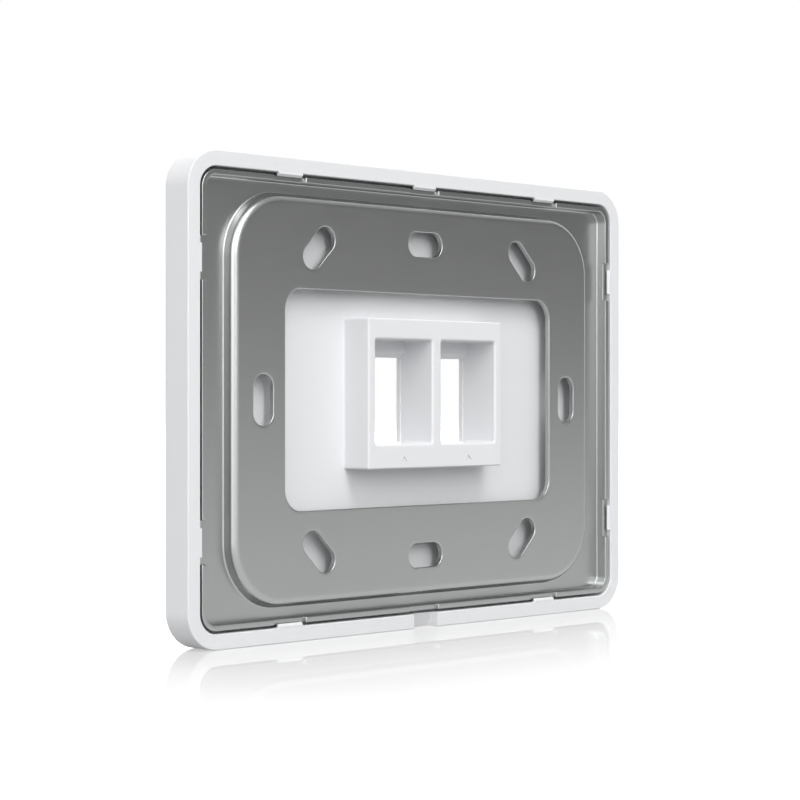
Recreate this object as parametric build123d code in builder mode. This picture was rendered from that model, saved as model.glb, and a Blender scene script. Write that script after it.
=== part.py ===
import math
import os

from build123d import *

# A two-port keystone faceplate with the pressed steel bracket that snaps into its back.
# The origin is the centre of the wall plane. Seen from the room, +X is right, +Z is up
# and +Y points into the wall. Sketches lie on the rear view, Plane.back, whose normal
# points into the wall. Sizes are millimetres.

# Port opening in the front face, for a standard keystone module
aperture_width = 14.9
aperture_height = 16.4
lip_thickness = 1.1
aperture_edge_radius = 0.25

# Pocket behind each opening, with the ledge that the module's latch snaps under
pocket_side_step = 0.17
pocket_floor_step = 0.2
latch_height = 3.25
latch_ledge_thickness = 2.3
latch_chamfer_height = 1.05
pocket_corner = 0.5
mouth_radius = 0.45

# Block that holds the two pockets
port_web = 2.5
block_side_wall = 1.9
block_wall_above = 3.95
block_wall_below = 4.6
block_rise = 3.1
block_corner = 0.4
block_edge_radius = 0.35

# Box screw slots, on two standard spacings and on a square inside the shorter one
screw_spacing_x = 83.3
screw_spacing_z = 60.0
square_inset = 2.0
slot_length = 9.28
slot_width = 4.74

# Pressed sheet of the bracket
sheet = 1.0
step_draft = 10.0
step_bend = 0.4
flange_bend = 0.3
flange_setback = 0.2
flange_edge_break = 0.15

# Bracket outline: from the box screws out to the platform's foot, then the shelf
platform_margin_x = 7.35
platform_margin_z = 7.6
platform_corner = 12.0
shelf_x = 6.75
shelf_z = 3.15

# Window in the platform: the metal left between it and the screw slots
window_bridge_x = 2.9
window_bridge_z = 7.3
window_corner = 4.0

# Faceplate shell
cavity_depth = 3.5
front_wall = 3.2
rim_width = 2.8
rim_gap = 0.55
plate_corner = 6.7
front_edge_radius = 0.8
rear_edge_break = 0.15

# Snap hooks inside the rim and the flange notches that they catch in
hook_length_long = 5.9
hook_length_side = 5.1
hook_station_x = 35.0
hook_station_z = 25.0
hook_flat = 0.3
hook_reach = 0.7
hook_lead = 0.4
hook_land = 0.1
hook_return = 0.25
hook_bond = 1.4
catch_play = 0.1
notch_end_gap = 0.9

# Pry notch across the rear of the bottom rim
pry_width = 6.2
pry_depth_inner = 0.9
pry_depth_outer = 2.2

# Distance that a cutting shape runs past the faces that it cuts through
overrun = 0.5

# Faces count as lying at one depth when they differ by less than this
same_depth = 0.01

# Sizes that follow from those above
pocket_width = aperture_width + 2 * pocket_side_step
pocket_floor = -aperture_height / 2 - pocket_floor_step
pocket_roof = aperture_height / 2 + latch_height
port_pitch = pocket_width + port_web

block_width = port_pitch + pocket_width + 2 * block_side_wall
block_top = pocket_roof + block_wall_above
block_bottom = pocket_floor - block_wall_below
block_height = block_top - block_bottom
block_centre = (block_top + block_bottom) / 2

plate_depth = cavity_depth + front_wall
platform_rise = cavity_depth - sheet
foot_width = screw_spacing_x + 2 * platform_margin_x
foot_height = screw_spacing_z + 2 * platform_margin_z
pan_width = foot_width + 2 * shelf_x
pan_height = foot_height + 2 * shelf_z
cavity_width = pan_width + 2 * rim_gap
cavity_height = pan_height + 2 * rim_gap
plate_width = cavity_width + 2 * rim_width
plate_height = cavity_height + 2 * rim_width
cavity_corner = plate_corner - rim_width
pan_corner = cavity_corner - rim_gap

screw_square = screw_spacing_z - 2 * square_inset
window_width = screw_spacing_x - slot_width - 2 * window_bridge_x
window_height = screw_spacing_z - slot_width - 2 * window_bridge_z

notch_depth = hook_lead + hook_land + hook_return + catch_play
notch_length = max(hook_length_long, hook_length_side) + 2 * notch_end_gap


def rear_plane(depth):
    """The rear view, moved from the wall plane towards the room by a depth."""
    return Plane.back.offset(-depth)


def seats_along(half_height, stations):
    """Seats on the bottom side, or with a negative height on the top, +Z pointing inwards."""
    turn = 0 if half_height > 0 else 180
    return [Location((x, 0, -half_height), (0, turn, 0)) for x in stations]


def seats_up(half_width, stations):
    """Seats on the right side, or with a negative width on the left, +Z pointing inwards."""
    turn = -90 if half_width > 0 else 90
    return [Location((half_width, 0, z), (0, turn, 0)) for z in stations]


def snap_hook(length):
    """A snap hook on a rim wall that lies along X and faces +Z.

    Its rear slopes so that it rides over the bracket's flange, and its front slopes back
    so that it lets go when the faceplate is pried off. Its bond lies inside the rim.
    """
    tip = hook_lead + hook_land
    with BuildPart() as hook:
        with BuildSketch(Plane.YZ):
            with BuildLine():
                Polyline(
                    (0, -hook_bond),
                    (0, hook_flat),
                    (-hook_lead, hook_reach),
                    (-tip, hook_reach),
                    (-tip - hook_return, 0),
                    (-tip - hook_return, -hook_bond),
                    close=True,
                )
            make_face()
        extrude(amount=length / 2, both=True)
    return hook.part


def flats_at(part, depth):
    """The flat faces of a part that lie at a depth in front of the wall plane."""
    return [face for face in part.faces().filter_by(Axis.Y) if abs(face.center().Y + depth) < same_depth]


# Empty space of one port: the stepped pocket, then the opening through the lip
lip_rear = lip_thickness - plate_depth
ledge_rear = latch_ledge_thickness - plate_depth
with BuildPart() as port_space:
    with BuildSketch(Plane.YZ):
        with BuildLine():
            Polyline(
                (block_rise, pocket_floor),
                (lip_rear, pocket_floor),
                (lip_rear, aperture_height / 2),
                (ledge_rear, aperture_height / 2 + latch_chamfer_height),
                (ledge_rear, pocket_roof),
                (block_rise, pocket_roof),
                close=True,
            )
        make_face()
    extrude(amount=pocket_width / 2, both=True)
    fillet(port_space.edges().filter_by(Axis.Y), radius=pocket_corner)
    with BuildSketch(rear_plane(plate_depth)):
        Rectangle(aperture_width, aperture_height)
    extrude(amount=lip_thickness)

# Wedge of the pry notch, deeper at the outside of the rim, run past both of its faces
pry_slope = (pry_depth_outer - pry_depth_inner) / rim_width
with BuildPart() as pry_notch:
    with BuildSketch(Plane.YZ):
        with BuildLine():
            Polyline(
                (0, overrun - cavity_height / 2),
                (pry_slope * overrun - pry_depth_inner, overrun - cavity_height / 2),
                (-pry_slope * overrun - pry_depth_outer, -overrun - plate_height / 2),
                (0, -overrun - plate_height / 2),
                close=True,
            )
        make_face()
    extrude(amount=pry_width / 2, both=True)

# Block for the ports, from the cavity's floor to past the wall plane
with BuildPart() as port_block:
    with BuildSketch(rear_plane(cavity_depth)):
        with Locations((0, block_centre)):
            RectangleRounded(block_width, block_height, block_corner)
    extrude(amount=cavity_depth + block_rise)
    fillet(port_block.faces().sort_by(Axis.Y)[-1].edges(), radius=block_edge_radius)

# Faceplate, moulded in one piece
half_cavity_x = cavity_width / 2
half_cavity_z = cavity_height / 2
side_stations = (-hook_station_z, hook_station_z)
bottom_stations = (-hook_station_x, hook_station_x)
top_stations = (-hook_station_x, 0, hook_station_x)
bottom_hook_seats = seats_along(half_cavity_z, bottom_stations)
top_hook_seats = seats_along(-half_cavity_z, top_stations)
side_hook_seats = seats_up(half_cavity_x, side_stations) + seats_up(-half_cavity_x, side_stations)
with BuildPart() as faceplate:
    with BuildSketch(rear_plane(plate_depth)):
        RectangleRounded(plate_width, plate_height, plate_corner)
    extrude(amount=plate_depth)
    fillet(faceplate.faces().sort_by(Axis.Y)[0].edges(), radius=front_edge_radius)
    with BuildSketch(rear_plane(cavity_depth)):
        RectangleRounded(cavity_width, cavity_height, cavity_corner)
    extrude(amount=cavity_depth, mode=Mode.SUBTRACT)
    chamfer(faceplate.faces().sort_by(Axis.Y)[-1].edges(), length=rear_edge_break)
    add(port_block.part)
    with Locations((-port_pitch / 2, 0, 0), (port_pitch / 2, 0, 0)):
        add(port_space.part, mode=Mode.SUBTRACT)
    block_rear = faceplate.faces().sort_by(Axis.Y)[-1]
    fillet(block_rear.inner_wires().edges(), radius=mouth_radius)
    plate_front = faceplate.faces().sort_by(Axis.Y)[0]
    fillet(plate_front.inner_wires().edges(), radius=aperture_edge_radius)
    with Locations(*bottom_hook_seats, *top_hook_seats):
        add(snap_hook(hook_length_long))
    with Locations(*side_hook_seats):
        add(snap_hook(hook_length_side))
    add(pry_notch.part, mode=Mode.SUBTRACT)

# Space that a flange notch takes out of the bracket, around one hook
with BuildPart() as flange_notch:
    with BuildSketch(rear_plane(notch_depth)):
        Rectangle(notch_length, 2 * (sheet + overrun))
    extrude(amount=notch_depth)

# Mounting bracket, drawn from one sheet: flange, shelf, and platform in the wall plane
shelf_depth = cavity_depth - sheet
bend_outside = step_bend + sheet
front_foot_inset = sheet * math.tan(math.radians((90 - step_draft) / 2))
half_pan_x = pan_width / 2
half_pan_z = pan_height / 2
notch_seats = (
    seats_along(half_pan_z, top_stations)
    + seats_along(-half_pan_z, top_stations)
    + seats_up(half_pan_x, side_stations)
    + seats_up(-half_pan_x, side_stations)
)
with BuildPart() as mounting_bracket:
    with BuildSketch(rear_plane(cavity_depth)):
        RectangleRounded(pan_width, pan_height, pan_corner)
    extrude(amount=cavity_depth - flange_setback)
    (front_face,) = flats_at(mounting_bracket, cavity_depth)
    fillet(front_face.edges(), radius=flange_bend + sheet)
    with BuildSketch(rear_plane(shelf_depth)):
        RectangleRounded(pan_width - 2 * sheet, pan_height - 2 * sheet, pan_corner - sheet)
    extrude(amount=shelf_depth - flange_setback, mode=Mode.SUBTRACT)
    (shelf_face,) = flats_at(mounting_bracket, shelf_depth)
    fillet(shelf_face.edges(), radius=flange_bend)

    # Platform, pressed out of the sheet: the same step behind and in front
    with BuildSketch(rear_plane(shelf_depth)):
        RectangleRounded(foot_width, foot_height, platform_corner)
    extrude(amount=platform_rise, taper=step_draft)
    with BuildSketch(rear_plane(cavity_depth)):
        RectangleRounded(
            foot_width - 2 * front_foot_inset,
            foot_height - 2 * front_foot_inset,
            platform_corner - front_foot_inset,
        )
    extrude(amount=platform_rise, taper=step_draft, mode=Mode.SUBTRACT)
    (front_face,) = flats_at(mounting_bracket, cavity_depth)
    (shelf_face,) = flats_at(mounting_bracket, shelf_depth)
    (platform_front,) = flats_at(mounting_bracket, sheet)
    (platform_rear,) = flats_at(mounting_bracket, 0)
    outside_bends = front_face.inner_wires().edges() + platform_rear.edges()
    inside_bends = shelf_face.inner_wires().edges() + platform_front.edges()
    fillet(outside_bends, radius=bend_outside)
    fillet(inside_bends, radius=step_bend)

    # Window and slots, punched through the platform
    with BuildSketch(rear_plane(cavity_depth)):
        RectangleRounded(window_width, window_height, window_corner)
        with PolarLocations(screw_spacing_x / 2, 2):
            SlotOverall(slot_length, slot_width, rotation=90)
        with PolarLocations(screw_spacing_z / 2, 2, start_angle=90):
            SlotOverall(slot_length, slot_width, rotation=90)
        with PolarLocations(screw_square / math.sqrt(2), 4, start_angle=45):
            SlotOverall(slot_length, slot_width, rotation=90)
    extrude(amount=cavity_depth, mode=Mode.SUBTRACT)

    # Notches for the hooks, then the sheet's free edge is broken all the way along
    with Locations(*notch_seats):
        add(flange_notch.part, mode=Mode.SUBTRACT)
    free_edges = [edge for face in flats_at(mounting_bracket, flange_setback) for edge in face.edges()]
    chamfer(free_edges, length=flange_edge_break)

os.makedirs("parts", exist_ok=True)
faceplate.part.label = "faceplate"
export_step(faceplate.part, "parts/faceplate.step")
mounting_bracket.part.label = "mounting_bracket"
export_step(mounting_bracket.part, "parts/mounting_bracket.step")
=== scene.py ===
import math

import bmesh
import bpy
import numpy as np
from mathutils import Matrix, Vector, geometry


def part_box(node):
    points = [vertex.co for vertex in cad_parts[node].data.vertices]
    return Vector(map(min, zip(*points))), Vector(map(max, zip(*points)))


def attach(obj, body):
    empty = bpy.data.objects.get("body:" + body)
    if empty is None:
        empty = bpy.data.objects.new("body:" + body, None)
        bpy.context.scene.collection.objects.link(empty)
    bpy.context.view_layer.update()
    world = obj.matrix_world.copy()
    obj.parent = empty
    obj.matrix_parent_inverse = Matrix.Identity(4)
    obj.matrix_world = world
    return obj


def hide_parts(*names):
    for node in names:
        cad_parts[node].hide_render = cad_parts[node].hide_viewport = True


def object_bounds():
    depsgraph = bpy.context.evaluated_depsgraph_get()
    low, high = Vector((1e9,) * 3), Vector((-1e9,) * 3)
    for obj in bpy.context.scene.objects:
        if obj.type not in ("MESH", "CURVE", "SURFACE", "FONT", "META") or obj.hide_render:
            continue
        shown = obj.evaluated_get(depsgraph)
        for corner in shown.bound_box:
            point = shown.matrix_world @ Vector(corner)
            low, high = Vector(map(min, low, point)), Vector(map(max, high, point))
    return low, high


# A keystone faceplate seen from behind, with the pressed steel bracket in its back.
# Lengths are millimetres in the row frame: +X right and +Z up as seen from the room, +Y into
# the wall. Depth is measured from the wall plane towards the room, so y = -depth.

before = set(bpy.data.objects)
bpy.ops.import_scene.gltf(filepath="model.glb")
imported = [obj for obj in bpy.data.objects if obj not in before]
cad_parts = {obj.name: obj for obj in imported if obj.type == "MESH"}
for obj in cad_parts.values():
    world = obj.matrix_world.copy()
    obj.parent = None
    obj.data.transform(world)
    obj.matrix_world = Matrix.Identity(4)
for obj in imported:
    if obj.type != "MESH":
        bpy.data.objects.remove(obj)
cad_low, cad_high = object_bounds()
scene = bpy.context.scene
MM = 0.001

# Outside sizes, from the frame
plate_low, plate_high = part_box("faceplate")
pan_low, pan_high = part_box("mounting_bracket")
plate_width = (plate_high.x - plate_low.x) / MM
plate_height = (plate_high.z - plate_low.z) / MM
plate_depth = -plate_low.y / MM
block_rise = plate_high.y / MM
pan_width = (pan_high.x - pan_low.x) / MM
pan_height = (pan_high.z - pan_low.z) / MM
cavity_depth = -pan_low.y / MM

# Rim and cavity of the faceplate
rim_width = 2.8
plate_corner = 6.7
front_round = 0.8
rim_round = 0.22
floor_round = 0.3
cavity_width = plate_width - 2 * rim_width
cavity_height = plate_height - 2 * rim_width
cavity_corner = plate_corner - rim_width

# Port opening, and the pocket behind it with its latch ledge
aperture_width = 14.9
aperture_height = 16.4
aperture_round = 0.25
lip_thickness = 1.1
pocket_side_step = 0.17
pocket_floor_step = 0.2
latch_height = 3.25
pocket_width = aperture_width + 2 * pocket_side_step
pocket_floor = -aperture_height / 2 - pocket_floor_step
pocket_roof = aperture_height / 2 + latch_height
pocket_corner = 0.5
lip_corner = 0.1
ledge_thickness = 2.3
ledge_chamfer = 1.05
mouth_round = 0.45

# Block that holds the two pockets
port_web = 2.5
block_side_wall = 1.9
block_wall_above = 3.95
block_wall_below = 4.6
port_pitch = pocket_width + port_web
block_width = port_pitch + pocket_width + 2 * block_side_wall
block_top = pocket_roof + block_wall_above
block_bottom = pocket_floor - block_wall_below
block_corner = 0.4
block_round = 0.35

# Moulded arrow under each port
arrow_width = 1.45
arrow_height = 1.0
arrow_line = 0.3
arrow_taper = 0.04
arrow_depth = 0.3
arrow_x = 8.9
arrow_z = -11.1

# Snap hooks and the flange notches around them
hook_length_long = 5.9
hook_length_side = 5.1
hook_x = 35.0
hook_z = 25.0
hook_places_x = (-hook_x, 0, hook_x)
hook_places_z = (-hook_z, hook_z)
hook_flat = 0.3
hook_reach = 0.7
hook_lead = 0.4
hook_land = 0.1
hook_return = 0.25
hook_bond = 1.4
hook_round = 0.08
hook_sunk = 0.01
catch_play = 0.1
notch_end_gap = 0.9
notch_length = hook_length_long + 2 * notch_end_gap
notch_depth = hook_lead + hook_land + hook_return + catch_play
notch_round = 0.2
notch_step = 0.04

# Pry notch in the bottom rim
pry_width = 6.2
pry_inner = 0.9
pry_outer = 2.2

# Pressed sheet of the bracket
sheet = 1.0
step_draft = math.radians(10)
step_bend = 0.4
step_run = 5.6
flange_bend = 0.3
flange_setback = 0.2
flange_round = 0.15
punch_round = 0.18
pan_corner = cavity_corner - (cavity_width - pan_width) / 2
shelf_x = 6.75
shelf_z = 3.15
foot_width = pan_width - 2 * shelf_x
foot_height = pan_height - 2 * shelf_z
foot_corner = 12.0
platform_rise = cavity_depth - sheet

# Screw slots, and the window: the metal left between it and the slots
slot_length = 9.28
slot_width = 4.74
spacing_x = 83.3
spacing_z = 60.0
square_inset = 2.0
spacing_square = spacing_z - 2 * square_inset
window_bridge_x = 2.9
window_bridge_z = 7.3
window_width = spacing_x - slot_width - 2 * window_bridge_x
window_height = spacing_z - slot_width - 2 * window_bridge_z
window_corner = 4.0

# Steps in the quarter turn of each kind of corner, bend and rounding
corner_steps = 14
arc_steps = 6
step_arc_steps = 10
flange_bend_steps = 8
flange_round_steps = 4
hook_round_steps = 3

# Flat margin beside each rounding, so that the flat face shades flat right up to it
margin = 0.4

# Stations on the flat near a notch's end, and how much of a normal makes it square to a side
notch_stations = 3
square_on = 0.99

# Closeness at which points become one: in millimetres, and in a finished mesh in metres
same_point = 1e-6
same_flat_point = 1e-5
weld = 1e-6
sliver = 1e-7

# Shading: edges of this many degrees or more stay sharp, and large faces rule the normals
sharp_angle = 38
face_weight = 100


def outline(width, height, radius, centre=(0.0, 0.0), turn=0.0, across=(), along=()):
    """A closed rounded rectangle, anticlockwise: its points and their outward normals.

    Each corner is centre + radius * (cos, sin) over a quarter turn. The top and bottom sides
    get extra stations at the x values in across, the two others at the z values in along.
    """
    half_x, half_z = width / 2, height / 2
    quarter = np.linspace(0, math.pi / 2, corner_steps + 1)
    points, normals = [], []
    sides = ((1, 1, across, 1), (-1, 1, along, 0), (-1, -1, across, 1), (1, -1, along, 0))
    for index, (sign_x, sign_z, marks, level) in enumerate(sides):
        angle = quarter + index * math.pi / 2
        normal = np.stack((np.cos(angle), np.sin(angle)), 1)
        middle = np.array((sign_x * (half_x - radius), sign_z * (half_z - radius)))
        points.append(middle + radius * normal)
        normals.append(normal)
        marks = np.sort(np.asarray(marks, float))
        if index < 2:
            marks = marks[::-1]
        face = np.zeros((len(marks), 2))
        face[:, level] = (1, -1, -1, 1)[index]
        run = face * (half_z if level else half_x)
        run[:, 1 - level] = marks
        points.append(run)
        normals.append(face)
    points, normals = np.concatenate(points), np.concatenate(normals)
    apart = np.linalg.norm(points - np.roll(points, 1, 0), axis=1) > same_point
    points, normals = points[apart], normals[apart]
    spin = np.array(((math.cos(turn), math.sin(turn)), (-math.sin(turn), math.cos(turn))))
    return points @ spin + centre, normals @ spin


def soften(corners, radii, closed=False, steps=arc_steps):
    """A profile with its corners rounded: each becomes an arc that touches both its sides.

    The arc's centre lies radius / sin(half angle) along the bisector, and its points are
    blended between the two tangent directions by sines.
    """
    corners = np.asarray(corners, float)
    radii = np.broadcast_to(np.asarray(radii, float), (len(corners),))[:, None]
    back = np.roll(corners, 1, 0) - corners
    ahead = np.roll(corners, -1, 0) - corners
    back /= np.linalg.norm(back, axis=1, keepdims=True)
    ahead /= np.linalg.norm(ahead, axis=1, keepdims=True)
    angle = np.arccos(np.clip((back * ahead).sum(1, keepdims=True), -1, 1))
    bisector = back + ahead
    bisector /= np.linalg.norm(bisector, axis=1, keepdims=True)
    centre = corners + bisector * radii / np.sin(angle / 2)
    reach = radii / np.tan(angle / 2)
    start, end = corners + back * reach - centre, corners + ahead * reach - centre
    sweep = math.pi - angle[:, :, None]
    share = np.linspace(0, 1, steps + 1)[None, :, None]
    arc = (np.sin((1 - share) * sweep) * start[:, None] + np.sin(share * sweep) * end[:, None])
    arc = centre[:, None] + arc / np.sin(sweep)
    if not closed:
        arc = np.concatenate((corners[:1], arc[1:-1].reshape(-1, 2), corners[-1:]))
    arc = arc.reshape(-1, 2)
    apart = np.linalg.norm(arc - np.roll(arc, 1, 0), axis=1) > same_point
    return arc[apart]


def carry(path, inset, depth):
    """A profile carried along a closed outline: outline - inset * normal, at y = -depth.

    Inset and depth hold one number for each profile point, or one for each point and station.
    """
    points, normals = path
    inset, depth = (np.asarray(v, float) for v in (inset, depth))
    inset, depth = (v[:, None] if v.ndim == 1 else v for v in (inset, depth))
    x = points[:, 0] - inset * normals[:, 0]
    z = points[:, 1] - inset * normals[:, 1]
    return np.stack((x, np.broadcast_to(-depth, x.shape), z), -1)


def skin(grid):
    """The surface over a grid of points that closes on itself along its second direction.

    Each face joins a point to the next in its row, and both to those in the next row.
    """
    rows, stations = grid.shape[:2]
    row, station = np.meshgrid(np.arange(rows - 1), np.arange(stations), indexing="ij")
    following = (station + 1) % stations
    faces = (
        row * stations + station,
        row * stations + following,
        (row + 1) * stations + following,
        (row + 1) * stations + station,
    )
    return grid.reshape(-1, 3), np.stack(faces, -1).reshape(-1, 4).tolist()


def flat(outer, *holes):
    """The flat face inside one closed outline and outside the others, all at one depth.

    The triangles between the outlines are kept where they lie in the first one only.
    """
    rings = (outer, *holes)
    ends = np.cumsum([len(ring) for ring in rings])
    whole = [list(range(end - len(ring), end)) for ring, end in zip(rings, ends)]
    points = np.concatenate(rings)[:, (0, 2)].tolist()
    made = geometry.delaunay_2d_cdt(points, [], whole, 1, same_flat_point)
    spots, _, triangles, _, _, owners = made
    spots = np.array([tuple(spot) for spot in spots])
    depth = np.full(len(spots), outer[0, 1])
    kept = [list(t) for t, owner in zip(triangles, owners) if list(owner) == [0]]
    return np.stack((spots[:, 0], depth, spots[:, 1]), 1), kept


def piece(name, parts, material, node):
    """One closed mesh from its surfaces, merged where they meet, in place of a CAD node."""
    points, faces, first = [], [], 0
    for vertices, polygons in parts:
        points.append(vertices)
        faces += [[first + corner for corner in polygon] for polygon in polygons]
        first += len(vertices)
    mesh = bpy.data.meshes.new(name)
    mesh.from_pydata((np.concatenate(points) * MM).tolist(), [], faces)
    form = bmesh.new()
    form.from_mesh(mesh)
    bmesh.ops.remove_doubles(form, verts=form.verts, dist=weld)
    bmesh.ops.dissolve_degenerate(form, edges=form.edges, dist=sliver)
    bmesh.ops.recalc_face_normals(form, faces=form.faces)
    form.to_mesh(mesh)
    form.free()
    mesh.shade_smooth()
    mesh.set_sharp_from_angle(angle=math.radians(sharp_angle))
    mesh.materials.append(material)
    body = bpy.data.objects.new(name, mesh)
    scene.collection.objects.link(body)
    even = body.modifiers.new("even_normals", "WEIGHTED_NORMAL")
    even.weight = face_weight
    even.keep_sharp = True
    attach(body, "root")
    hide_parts(node)
    return body


def linear(code):
    """An sRGB hex colour as linear numbers: v / 12.92, or ((v + 0.055) / 1.055) ** 2.4."""
    value = np.array([int(code[i : i + 2], 16) for i in (0, 2, 4)]) / 255
    value = np.where(value <= 0.04045, value / 12.92, ((value + 0.055) / 1.055) ** 2.4)
    return (*value.tolist(), 1.0)


def add_node(tree, kind, settings=None, inputs=None):
    """One shader node with its settings, and with numbers or links on its inputs."""
    made = tree.nodes.new(kind)
    for key, value in (settings or {}).items():
        setattr(made, key, value)
    for key, value in (inputs or {}).items():
        if isinstance(value, bpy.types.NodeSocket):
            tree.links.new(value, made.inputs[key])
        else:
            made.inputs[key].default_value = value
    return made


def empty_tree(holder):
    """The holder's node tree, switched on and with nothing in it."""
    holder.use_nodes = True
    holder.node_tree.nodes.clear()
    return holder.node_tree


# Moulded ABS: grain width and height in millimetres, and the surface's gloss
abs_grain = 0.35
abs_grain_height = 0.02
abs_grain_strength = 0.04
abs_roughness = 0.45
abs_ior = 1.53


def moulded_abs():
    """ABS from a finely spark-eroded mould: pale cool white with a soft sheen.

    A noise as wide as the grain lifts the surface a little, which only shows close by.
    """
    material = bpy.data.materials.new("moulded_abs_fine_satin")
    tree = empty_tree(material)
    place = add_node(tree, "ShaderNodeTexCoord").outputs["Object"]
    pitch = {"Vector": place, "Scale": 1 / (abs_grain * MM)}
    depth = {
        "Height": add_node(tree, "ShaderNodeTexNoise", inputs=pitch).outputs[0],
        "Strength": abs_grain_strength,
        "Distance": abs_grain_height * MM,
    }
    surface = {
        "Base Color": linear("E6E7E9"),
        "Roughness": abs_roughness,
        "IOR": abs_ior,
        "Normal": add_node(tree, "ShaderNodeBump", inputs=depth).outputs[0],
    }
    shader = add_node(tree, "ShaderNodeBsdfPrincipled", inputs=surface)
    add_node(tree, "ShaderNodeOutputMaterial", inputs={"Surface": shader.outputs[0]})
    return material


# Zinc-plated steel: size of the rolling marks in millimetres, and the gloss between them
roll_mark_length = 9.0
roll_mark_width = 0.6
steel_roughness_low = 0.29
steel_roughness_high = 0.35


def plated_steel():
    """Cold rolled steel sheet, pressed and zinc plated: smooth and grey, with soft reflections.

    A noise drawn out along the sheet, as rolling does, varies the roughness a little.
    """
    material = bpy.data.materials.new("zinc_plated_pressed_steel")
    tree = empty_tree(material)
    place = add_node(tree, "ShaderNodeTexCoord").outputs["Object"]
    across = 1 / (roll_mark_width * MM)
    stretch = {0: place, 1: (1 / (roll_mark_length * MM), across, across)}
    drawn = add_node(tree, "ShaderNodeVectorMath", {"operation": "MULTIPLY"}, stretch).outputs[0]
    marks = add_node(tree, "ShaderNodeTexNoise", inputs={"Vector": drawn, "Scale": 1.0})
    sheen = {
        "Value": marks.outputs[0],
        "To Min": steel_roughness_low,
        "To Max": steel_roughness_high,
    }
    surface = {
        "Base Color": linear("ADAFAE"),
        "Metallic": 1.0,
        "Roughness": add_node(tree, "ShaderNodeMapRange", inputs=sheen).outputs[0],
    }
    shader = add_node(tree, "ShaderNodeBsdfPrincipled", inputs=surface)
    add_node(tree, "ShaderNodeOutputMaterial", inputs={"Surface": shader.outputs[0]})
    return material


abs_plastic = moulded_abs()
steel = plated_steel()


# Faceplate: the rim's section is carried round the plate, and drops where the pry notch is
def rim_skin():
    """From the front face round the outside, over the rim and down to the cavity's floor."""
    half = pry_width / 2
    marks = [side * (half + shift) for side in (-1, 1) for shift in (0, notch_step)]
    path = outline(plate_width, plate_height, plate_corner, across=marks)
    section = soften(
        (
            (front_round + margin, plate_depth),
            (0, plate_depth),
            (0, 0),
            (rim_width, 0),
            (rim_width, cavity_depth),
            (rim_width + floor_round + margin, cavity_depth),
        ),
        (0, front_round, rim_round, rim_round, floor_round, 0),
    )
    inset, depth = (np.repeat(section[:, i : i + 1], len(path[0]), 1) for i in (0, 1))
    below = path[1][:, 1] < -square_on
    within = below & (np.abs(path[0][:, 0]) < half + notch_step / 2)
    share = np.clip(inset / rim_width, 0, 1)
    cut = pry_outer + (pry_inner - pry_outer) * share
    depth = np.where(within, np.maximum(depth, cut), depth)
    return carry(path, inset, depth)


rim = rim_skin()
parts = [skin(rim)]

# Block round the ports, rounded at its rear edge
block_path = outline(
    block_width,
    block_top - block_bottom,
    block_corner,
    centre=(0, (block_top + block_bottom) / 2),
)
block_section = soften(
    (
        (-floor_round - margin, cavity_depth),
        (0, cavity_depth),
        (0, -block_rise),
        (block_round, -block_rise),
    ),
    (0, floor_round, block_round, 0),
)
block = carry(block_path, block_section[:, 0], block_section[:, 1])
parts += [skin(block), flat(rim[-1], block[0])]

# Ports: rounded mouth, pocket with its latch ledge, lip and opening
ledge_depth = plate_depth - ledge_thickness
lip_depth = plate_depth - lip_thickness
half_opening = aperture_height / 2
chamfer_top = half_opening + ledge_chamfer


def port_rings(x):
    """The outlines of one port from its rear mouth to the front face, in order."""

    def ring(width, low, high, radius, inset, depth):
        path = outline(width, high - low, radius, centre=(x, (high + low) / 2))
        return carry(path, inset, depth)

    mouth = soften(
        ((-mouth_round - margin, -block_rise), (0, -block_rise), (0, mouth_round - block_rise)),
        (0, mouth_round, 0),
    )
    edge = soften(
        ((0, lip_depth), (0, plate_depth), (-aperture_round - margin, plate_depth)),
        (0, aperture_round, 0),
    )
    stages = (
        (pocket_width, pocket_floor, pocket_roof, pocket_corner, mouth[:, 0], mouth[:, 1]),
        (pocket_width, pocket_floor, pocket_roof, pocket_corner, [0], [ledge_depth]),
        (pocket_width, pocket_floor, chamfer_top, lip_corner, [0], [ledge_depth]),
        (pocket_width, pocket_floor, half_opening, lip_corner, [0], [lip_depth]),
        (aperture_width, -half_opening, half_opening, lip_corner, edge[:, 0], edge[:, 1]),
    )
    return np.concatenate([ring(*stage) for stage in stages])


def arrow_groove(x):
    """A chevron groove in the block's rear face: its outline there, and narrower at its floor."""
    half, rise, line = arrow_width / 2, arrow_height / 2, arrow_line

    def chevron(inset, depth):
        arm = (half - inset, rise - inset)
        points = (
            (-arm[0], -arm[1]),
            (-arm[0] + line - inset, -arm[1]),
            (0, rise - 2 * line + inset),
            (arm[0] - line + inset, -arm[1]),
            (arm[0], -arm[1]),
            (0, rise - inset),
        )
        return np.insert(np.array(points) + (x, arrow_z), 1, -depth, axis=1)

    return np.stack((chevron(0, -block_rise), chevron(arrow_taper, arrow_depth - block_rise)))


ports = [port_rings(side * port_pitch / 2) for side in (-1, 1)]
arrows = [arrow_groove(side * arrow_x) for side in (-1, 1)]
parts += [skin(port) for port in ports]
parts += [skin(arrow) for arrow in arrows]
parts += [flat(arrow[-1]) for arrow in arrows]
parts.append(flat(block[-1], *(port[0] for port in ports), *(arrow[0] for arrow in arrows)))
parts.append(flat(rim[0], *(port[-1] for port in ports)))


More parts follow.
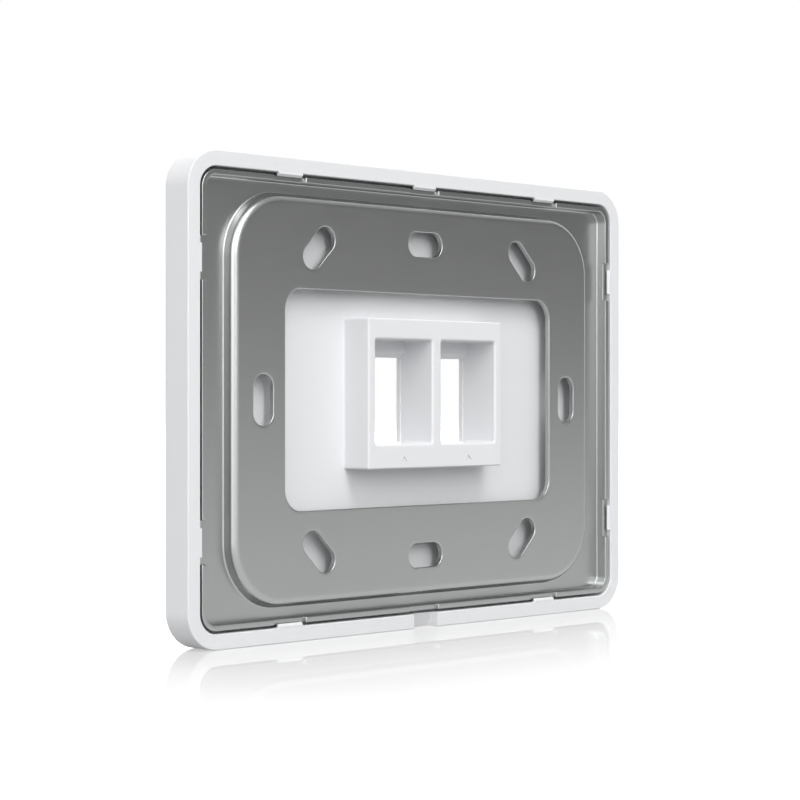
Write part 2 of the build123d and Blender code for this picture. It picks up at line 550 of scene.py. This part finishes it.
def snap_hook(seat, inward, length):
    """A hook's section carried along its length, with both ends rounded.

    Over the last hook_round of the length the section shrinks about its middle: at a turn t
    the end still lies hook_round * (1 - sin t) away, and hook_round * (1 - cos t) is drawn in.
    """
    tip = hook_lead + hook_land
    section = (
        (-hook_bond, hook_lead),
        (-rim_round - hook_sunk, hook_sunk),
        (hook_flat, hook_sunk),
        (hook_reach, hook_lead),
        (hook_reach, tip),
        (0, tip + hook_return),
        (-hook_bond, tip + hook_return),
    )
    section = soften(section, (0, 0, hook_round, hook_round, hook_round / 2, 0, 0), closed=True)
    middle = section.mean(0)
    turn = np.linspace(0, math.pi / 2, hook_round_steps + 1)
    drawn = 1 - hook_round * (1 - np.cos(turn)) / hook_reach
    drawn = np.concatenate((drawn[::-1], drawn))
    run = length / 2 - hook_round * (1 - np.sin(turn))
    run = np.concatenate((-run[::-1], run))
    form = middle + (section - middle) * drawn[:, None, None]
    seat, inward = np.array(seat, float), np.array(inward, float)
    sideways = np.array((-inward[1], inward[0]))
    place = seat + form[..., :1] * inward + run[:, None, None] * sideways
    grid = np.stack((place[..., 0], -form[..., 1], place[..., 1]), -1)
    vertices, faces = skin(grid)
    count = len(section)
    faces.append(list(range(count)))
    faces.append(list(range(len(vertices) - count, len(vertices))))
    return vertices, faces


half_x, half_z = cavity_width / 2, cavity_height / 2
parts += [snap_hook((x, half_z), (0, -1), hook_length_long) for x in hook_places_x]
parts += [snap_hook((x, -half_z), (0, 1), hook_length_long) for x in (-hook_x, hook_x)]
parts += [
    snap_hook((side * half_x, z), (-side, 0), hook_length_side)
    for side in (-1, 1)
    for z in hook_places_z
]
piece("faceplate_moulding", parts, abs_plastic, "faceplate")


# Bracket: one sheet, so that each bend has one centre for its inside and its outside
def flange_skin():
    """From the shelf over the flange's free edge and back under the front face.

    The free edge lies at the setback, and at the notch's depth within a notch. Points of the
    bends that would lie above it are moved down the bend to it.
    """
    half = notch_length / 2
    curl = np.linspace(0, math.pi / 2, flange_round_steps + 1)[:, None]
    rounding = notch_step + notch_round * (1 - np.cos(curl[:, 0]))
    shift = half + np.concatenate((-notch_round * np.arange(notch_stations), rounding))
    around = np.concatenate((-shift, shift))
    across = np.concatenate([x + around for x in hook_places_x])
    along = np.concatenate([z + around for z in hook_places_z])
    path = outline(pan_width, pan_height, pan_corner, across=across, along=along)
    points, normals = path
    level = np.abs(normals[:, 1]) > square_on
    stand = np.abs(normals[:, 0]) > square_on
    away = np.full(len(points), np.inf)
    for x in hook_places_x:
        away = np.where(level, np.minimum(away, np.abs(points[:, 0] - x)), away)
    for z in hook_places_z:
        away = np.where(stand, np.minimum(away, np.abs(points[:, 1] - z)), away)
    beyond = np.clip(away - half - notch_step, 0, notch_round)
    dip = notch_round - np.sqrt(notch_round**2 - (notch_round - beyond) ** 2)
    top = np.where(away < half + notch_step / 2, notch_depth, flange_setback + dip)

    bend = flange_bend + sheet
    start = cavity_depth - bend

    def wall_inset(depth, radius):
        """How far a face of the flange lies inside the pan's outline at a depth."""
        rise = np.clip(depth - start, 0, radius)
        return bend - np.sqrt(radius**2 - rise**2)

    sweep = np.linspace(math.pi / 2, 0, flange_bend_steps + 1)[:, None]
    free = top + flange_round
    inner_depth = np.maximum(start + flange_bend * np.sin(sweep), free)
    inner_inset = wall_inset(inner_depth, flange_bend)
    outer_depth = np.maximum(start + bend * np.sin(sweep[::-1]), free)
    outer_inset = wall_inset(outer_depth, bend)
    edge_depth = free - flange_round * np.sin(curl)
    inner_edge = wall_inset(free, flange_bend) - flange_round * (1 - np.cos(curl))
    outer_edge = wall_inset(free, bend) + flange_round * (1 - np.cos(curl))
    inset = (inner_inset[:1] + margin, inner_inset, inner_edge, outer_edge[::-1], outer_inset)
    depth = (inner_depth[:1], inner_depth, edge_depth, edge_depth[::-1], outer_depth)
    inset, depth = np.concatenate(inset), np.concatenate(depth)
    return carry(path, inset, depth)


def step_skin(inset, depth, radii):
    """One face of the pressed step, from the shelf up its drafted wall to the platform.

    The section's two straight ends are cut back to the margin beside each bend.
    """
    lean = platform_rise * math.tan(step_draft)
    rear = depth - platform_rise
    corners = (
        (inset - step_run, depth),
        (inset, depth),
        (inset + lean, rear),
        (inset + step_run, rear),
    )
    section = soften(corners, (0, *radii, 0), steps=step_arc_steps)[1:-1]
    section = np.concatenate((section[:1] - (margin, 0), section, section[-1:] + (margin, 0)))
    path = outline(foot_width, foot_height, foot_corner)
    return carry(path, section[:, 0], section[:, 1])


def punched(path):
    """The edge of a punched hole, rounded towards the wall and square towards the room."""
    section = soften(((-punch_round - margin, 0), (0, 0), (0, sheet)), (0, punch_round, 0))
    return carry((path[0], -path[1]), -section[:, 0], section[:, 1])


front_inset = sheet * math.tan((math.pi / 2 - step_draft) / 2)
flange = flange_skin()
rear_step = step_skin(0, platform_rise, (step_bend, step_bend + sheet))
front_step = step_skin(front_inset, cavity_depth, (step_bend + sheet, step_bend))
slot_places = [(side * spacing_x / 2, 0, 0) for side in (-1, 1)]
slot_places += [(0, side * spacing_z / 2, math.pi / 2) for side in (-1, 1)]
slot_places += [
    (x * spacing_square / 2, z * spacing_square / 2, x * z * math.pi / 4)
    for x in (-1, 1)
    for z in (-1, 1)
]
holes = [punched(outline(window_width, window_height, window_corner))]
holes += [
    punched(outline(slot_width, slot_length, slot_width / 2, centre=(x, z), turn=turn))
    for x, z, turn in slot_places
]
sheet_parts = [skin(flange), skin(rear_step), skin(front_step)]
sheet_parts += [skin(hole) for hole in holes]
sheet_parts.append(flat(flange[0], rear_step[0]))
sheet_parts.append(flat(flange[-1], front_step[0]))
sheet_parts.append(flat(rear_step[-1], *(hole[0] for hole in holes)))
sheet_parts.append(flat(front_step[-1], *(hole[-1] for hole in holes)))
piece("bracket_pressing", sheet_parts, steel, "mounting_bracket")

# Camera: level and 45 degrees round to the back, with its lens in millimetres
camera_lens = 95.085
camera_sensor = 36.0
camera_heading = 135

# Where the camera stands and the range that it sees, in metres
camera_place = (0.2928, 0.2858, 0.0)
camera_near = 0.01
camera_far = 20.0

camera_data = bpy.data.cameras.new("camera")
camera_data.lens = camera_lens
camera_data.sensor_width = camera_sensor
camera_data.clip_start = camera_near
camera_data.clip_end = camera_far
camera = bpy.data.objects.new("camera", camera_data)
camera.location = camera_place
camera.rotation_euler = (math.radians(90), 0, math.radians(camera_heading))
scene.collection.objects.link(camera)
scene.camera = camera
scene.view_settings.view_transform = "Standard"


# World and cards: strength of the daylight, and how far off and how finely a card is curved
daylight = 0.525
card_distance = 3.2
card_stations = (17, 9)


def studio_world():
    """Soft daylight for the surfaces, and plain white where it is looked at or mirrored."""
    world = bpy.data.worlds.new("studio")
    tree = empty_tree(world)
    ray = add_node(tree, "ShaderNodeLightPath")
    seen = ray.outputs["Is Camera Ray"]
    for kind in ("Is Glossy Ray", "Is Transmission Ray"):
        either = {0: seen, 1: ray.outputs[kind]}
        seen = add_node(tree, "ShaderNodeMath", {"operation": "MAXIMUM"}, either).outputs[0]
    white = linear("FFFFFF")
    soft = add_node(tree, "ShaderNodeBackground", inputs={"Color": white, "Strength": daylight})
    plain = add_node(tree, "ShaderNodeBackground", inputs={"Color": white, "Strength": 1.0})
    choice = {0: seen, 1: soft.outputs[0], 2: plain.outputs[0]}
    mixed = add_node(tree, "ShaderNodeMixShader", inputs=choice)
    add_node(tree, "ShaderNodeOutputWorld", inputs={"Surface": mixed.outputs[0]})
    return world


def direction(azimuth, elevation):
    """The way to a point of the studio, from degrees: azimuth runs from +Y towards +X.

    x = cos(elevation) * sin(azimuth), y = cos(elevation) * cos(azimuth), z = sin(elevation).
    """
    azimuth, elevation = np.radians(azimuth), np.radians(elevation)
    level = np.cos(elevation)
    return np.stack((level * np.sin(azimuth), level * np.cos(azimuth), np.sin(elevation)), -1)


def soft_box(name, azimuth, elevation, distance, width, height, power):
    """A soft rectangular lamp in the studio that faces the object."""
    data = bpy.data.lights.new(name, "AREA")
    data.shape = "RECTANGLE"
    data.size, data.size_y, data.energy = width, height, power
    lamp = bpy.data.objects.new(name, data)
    away = Vector(direction(azimuth, elevation).tolist())
    lamp.location = away * distance
    lamp.rotation_euler = away.to_track_quat("Z", "Y").to_euler()
    scene.collection.objects.link(lamp)
    return lamp


def studio_card(name, azimuths, elevations, grey):
    """A curved card round the object that only shows in reflections.

    Its points lie at one distance, over a grid of azimuth and elevation.
    """
    across, up = card_stations
    turn, rise = np.meshgrid(np.linspace(*azimuths, across), np.linspace(*elevations, up))
    grid = direction(turn, rise) * card_distance
    rows, columns = turn.shape
    row, column = np.meshgrid(np.arange(rows - 1), np.arange(columns - 1), indexing="ij")
    corner = row * columns + column
    faces = np.stack((corner, corner + 1, corner + columns + 1, corner + columns), -1)
    mesh = bpy.data.meshes.new(name)
    mesh.from_pydata(grid.reshape(-1, 3).tolist(), [], faces.reshape(-1, 4).tolist())
    material = bpy.data.materials.new(name)
    tree = empty_tree(material)
    look = {"Color": linear("FFFFFF"), "Strength": grey}
    glow = add_node(tree, "ShaderNodeEmission", inputs=look)
    add_node(tree, "ShaderNodeOutputMaterial", inputs={"Surface": glow.outputs[0]})
    mesh.materials.append(material)
    card = bpy.data.objects.new(name, mesh)
    card.visible_camera = False
    card.visible_diffuse = False
    card.visible_shadow = False
    scene.collection.objects.link(card)
    return card


scene.world = studio_world()

# Soft boxes: azimuth and elevation in degrees, then distance, width, height, and power in watts
soft_box("rear_box", 17, 25, 2.2, 0.5, 1.4, 17.2)
soft_box("upper_box", 20, 52, 2.2, 1.0, 0.8, 15.5)
soft_box("left_box", 62, 20, 2.2, 1.4, 1.4, 9.2)
soft_box("side_box", 95, 15, 2.2, 1.2, 1.2, 4.8)
soft_box("front_box", 222, 18, 2.4, 1.6, 1.6, 28.0)

# Cards: from and to in azimuth, from and to in elevation, and how bright they look
studio_card("card_far_low", (-78, -25), (-1, 20), 0.133)
studio_card("card_far_high", (-78, -25), (20, 65), 0.5)
studio_card("card_behind", (-25, 30), (-1, 30), 0.74)
studio_card("card_above", (-25, 30), (30, 65), 0.6)
studio_card("card_near_low", (30, 65), (-1, 8), 1.5)
studio_card("card_near", (34, 62), (8, 30), 2.2)
studio_card("card_near_high", (30, 65), (30, 65), 1.4)
studio_card("card_side", (65, 120), (-1, 65), 2.2)
studio_card("card_edge", (-120, -80), (-1, 65), 2.5)
studio_card("card_front", (-180, -120), (14, 65), 1.0)
studio_card("card_roof", (-180, 180), (65, 90), 0.12)


# Floor: how bright it looks at the object's foot, where it is kept lower as painted contact
# shadow, near it, and in a reflection
glow_painted_shade = 0.6
glow_near = 0.7
glow_mirrored = 0.7

# Floor: how strongly and how sharply it mirrors the object's foot
mirror_share = 0.56
floor_roughness = 0.03
floor_ior = 1.5

# Floor: half its width, and how far from the foot each of these reaches, in metres
floor_half = 3.0
painted_shade_reach = 0.03
glow_reach = 0.2
mirror_reach = 0.09


def white_floor():
    """Grey paint that keeps the shadow, lifted to white for the camera and for reflections.

    Both the lift and the mirror follow a point's distance from the object's footprint; the lift is
    lower at the foot, which paints a soft contact shadow round it.
    """
    material = bpy.data.materials.new("white_polished_floor")
    tree = empty_tree(material)
    ray = add_node(tree, "ShaderNodeLightPath")
    seen, mirrored = ray.outputs["Is Camera Ray"], ray.outputs["Is Glossy Ray"]
    centre, half = (cad_low + cad_high) / 2, (cad_high - cad_low) / 2
    none = (0.0, 0.0, 0.0)
    place = add_node(tree, "ShaderNodeTexCoord").outputs["Object"]
    for operation, second in (
        ("SUBTRACT", centre),
        ("ABSOLUTE", none),
        ("SUBTRACT", half),
        ("MAXIMUM", none),
        ("LENGTH", none),
    ):
        terms = {0: place, 1: second}
        step = add_node(tree, "ShaderNodeVectorMath", {"operation": operation}, terms)
        place = step.outputs[0]
    away = step.outputs["Value"]

    blends = []
    for low, high, near, far in (
        # Painted shade: the camera's glow is lower at the object's foot, which darkens the floor
        # there like a contact shadow
        (0.0, painted_shade_reach, glow_painted_shade, glow_near),
        (painted_shade_reach, glow_reach, 0.0, 1.0 - glow_near),
        (0.0, mirror_reach, mirror_share, 0.0),
    ):
        span = {"Value": away, "From Min": low, "From Max": high, "To Min": near, "To Max": far}
        blend = add_node(tree, "ShaderNodeMapRange", {"interpolation_type": "SMOOTHSTEP"}, span)
        blends.append(blend.outputs[0])
    painted_shade_glow, beyond, share = blends
    spread = {0: painted_shade_glow, 1: beyond}
    glow = add_node(tree, "ShaderNodeMath", {"operation": "ADD"}, spread).outputs[0]
    shown = {0: seen, 1: glow}
    glow = add_node(tree, "ShaderNodeMath", {"operation": "MULTIPLY"}, shown).outputs[0]
    shown = {0: mirrored, 1: glow_mirrored, 2: glow}
    glow = add_node(tree, "ShaderNodeMath", {"operation": "MULTIPLY_ADD"}, shown).outputs[0]
    polish = add_node(tree, "ShaderNodeFresnel", inputs={"IOR": floor_ior}).outputs[0]
    for factor in (seen, polish):
        shown = {0: share, 1: factor}
        share = add_node(tree, "ShaderNodeMath", {"operation": "MULTIPLY"}, shown).outputs[0]

    white = linear("FFFFFF")
    paint = add_node(tree, "ShaderNodeBsdfDiffuse", inputs={"Color": linear("9C9C9C")})
    lift = add_node(tree, "ShaderNodeEmission", inputs={"Color": white, "Strength": glow})
    lit = add_node(tree, "ShaderNodeAddShader", inputs={0: paint.outputs[0], 1: lift.outputs[0]})
    gloss = {"Color": white, "Roughness": floor_roughness}
    mirror = add_node(tree, "ShaderNodeBsdfGlossy", inputs=gloss)
    both = {0: share, 1: lit.outputs[0], 2: mirror.outputs[0]}
    both = add_node(tree, "ShaderNodeMixShader", inputs=both)
    add_node(tree, "ShaderNodeOutputMaterial", inputs={"Surface": both.outputs[0]})
    return material


floor_mesh = bpy.data.meshes.new("floor")
floor_mesh.from_pydata(
    [(x * floor_half, y * floor_half, cad_low.z) for x, y in ((-1, -1), (1, -1), (1, 1), (-1, 1))],
    [],
    [(0, 1, 2, 3)],
)
floor_mesh.materials.append(white_floor())
floor = bpy.data.objects.new("floor", floor_mesh)
scene.collection.objects.link(floor)
